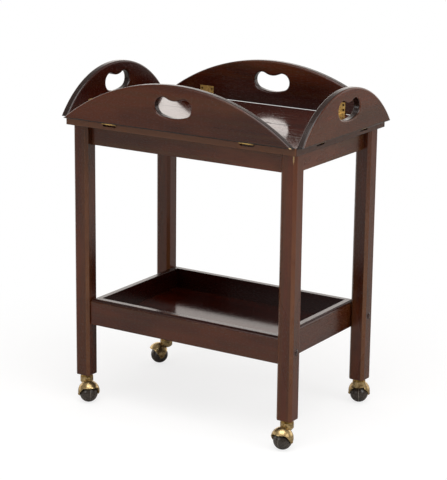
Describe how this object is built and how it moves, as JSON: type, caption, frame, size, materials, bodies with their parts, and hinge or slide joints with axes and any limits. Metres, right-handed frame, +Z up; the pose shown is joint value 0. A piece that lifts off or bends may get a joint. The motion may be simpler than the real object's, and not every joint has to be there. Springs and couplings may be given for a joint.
{
  "type": "tea trolley",
  "caption": "Dark wooden tea trolley with a tray top edged by hinged arched flaps with hand holes, square legs on brass hooded ball castors, and a sunk lower tray.",
  "frame": {"origin": "on the floor under the middle of the trolley", "axes": "+X along the long sides, to the right seen from the front; +Y from front to back; +Z up"},
  "size_m": [0.6524, 0.4424, 0.8054],
  "materials": {
    "mahogany": "dark red-brown, polished, fine grain",
    "mahogany_legs": "dark red-brown, soft gloss",
    "block_wood": "plain, unpolished",
    "brass": "aged, mottled, polished on the hoods",
    "brass_dark": "browned",
    "steel": "plain",
    "ball_black": "hard, nearly black, worn",
    "seam_pale": "pale edge between the half balls",
    "cap_brown": "dark brown, smooth dome"
  },
  "bodies": {
    "base": {"top_panel": "mahogany", "leg_front_left": "mahogany_legs", "leg_front_right": "mahogany_legs", "leg_back_left": "mahogany_legs", "leg_back_right": "mahogany_legs", "apron_front": "mahogany", "apron_back": "mahogany", "apron_left": "mahogany", "apron_right": "mahogany", "tray_rail_front": "mahogany", "tray_rail_back": "mahogany", "tray_rail_left": "mahogany", "tray_rail_right": "mahogany", "tray_floor": "mahogany", "corner_blocks": "block_wood", "top_screws": "steel", "tray_screws": "steel", "tray_screw_caps": "cap_brown", "top_hinge_leaves": "brass", "hinge_pins": "brass_dark", "top_hinge_screws": "brass_dark", "castor_socket_front_left": "brass_dark", "castor_socket_front_right": "brass_dark", "castor_socket_back_left": "brass_dark", "castor_socket_back_right": "brass_dark"},
    "flap_front": {"flap_front": "mahogany", "flap_hinge_leaves_front": "brass", "flap_hinge_screws_front": "brass_dark"},
    "flap_back": {"flap_back": "mahogany", "flap_hinge_leaves_back": "brass", "flap_hinge_screws_back": "brass_dark"},
    "flap_left": {"flap_left": "mahogany", "flap_hinge_leaves_left": "brass", "flap_hinge_screws_left": "brass_dark"},
    "flap_right": {"flap_right": "mahogany", "flap_hinge_leaves_right": "brass", "flap_hinge_screws_right": "brass_dark"},
    "swivel_front_left": {"castor_hood_front_left": "brass", "castor_axle_front_left": "brass_dark"},
    "wheel_front_left": {"castor_ball_front_left": "ball_black", "castor_disc_front_left": "seam_pale"},
    "swivel_front_right": {"castor_hood_front_right": "brass", "castor_axle_front_right": "brass_dark"},
    "wheel_front_right": {"castor_ball_front_right": "ball_black", "castor_disc_front_right": "seam_pale"},
    "swivel_back_left": {"castor_hood_back_left": "brass", "castor_axle_back_left": "brass_dark"},
    "wheel_back_left": {"castor_ball_back_left": "ball_black", "castor_disc_back_left": "seam_pale"},
    "swivel_back_right": {"castor_hood_back_right": "brass", "castor_axle_back_right": "brass_dark"},
    "wheel_back_right": {"castor_ball_back_right": "ball_black", "castor_disc_back_right": "seam_pale"}
  },
  "joints": [
    {"name": "flap_front_fold", "type": "hinge", "parent": "base", "child": "flap_front", "pos_m": [0, -0.20525, 0.696], "axis": [1, 0, 0], "range_deg": [0, 90]},
    {"name": "flap_back_fold", "type": "hinge", "parent": "base", "child": "flap_back", "pos_m": [0, 0.20525, 0.696], "axis": [-1, 0, 0], "range_deg": [0, 90]},
    {"name": "flap_left_fold", "type": "hinge", "parent": "base", "child": "flap_left", "pos_m": [-0.31025, 0, 0.696], "axis": [0, -1, 0], "range_deg": [0, 90]},
    {"name": "flap_right_fold", "type": "hinge", "parent": "base", "child": "flap_right", "pos_m": [0.31025, 0, 0.696], "axis": [0, 1, 0], "range_deg": [0, 90]},
    {"name": "castor_swivel_front_left", "type": "hinge", "parent": "base", "child": "swivel_front_left", "pos_m": [-0.2815, -0.1705, 0.055], "axis": [0, 0, 1], "continuous": true},
    {"name": "castor_roll_front_left", "type": "hinge", "parent": "swivel_front_left", "child": "wheel_front_left", "pos_m": [-0.26748, -0.18226, 0.0217], "axis": [0.6428, 0.766, 0], "continuous": true},
    {"name": "castor_swivel_front_right", "type": "hinge", "parent": "base", "child": "swivel_front_right", "pos_m": [0.2815, -0.1705, 0.055], "axis": [0, 0, 1], "continuous": true},
    {"name": "castor_roll_front_right", "type": "hinge", "parent": "swivel_front_right", "child": "wheel_front_right", "pos_m": [0.2815, -0.1888, 0.0217], "axis": [1, 0, 0], "continuous": true},
    {"name": "castor_swivel_back_left", "type": "hinge", "parent": "base", "child": "swivel_back_left", "pos_m": [-0.2815, 0.1705, 0.055], "axis": [0, 0, 1], "continuous": true},
    {"name": "castor_roll_back_left", "type": "hinge", "parent": "swivel_back_left", "child": "wheel_back_left", "pos_m": [-0.29326, 0.15648, 0.0217], "axis": [0.766, -0.6428, 0], "continuous": true},
    {"name": "castor_swivel_back_right", "type": "hinge", "parent": "base", "child": "swivel_back_right", "pos_m": [0.2815, 0.1705, 0.055], "axis": [0, 0, 1], "continuous": true},
    {"name": "castor_roll_back_right", "type": "hinge", "parent": "swivel_back_right", "child": "wheel_back_right", "pos_m": [0.27377, 0.18709, 0.0217], "axis": [-0.9063, -0.4226, 0], "continuous": true}
  ]
}
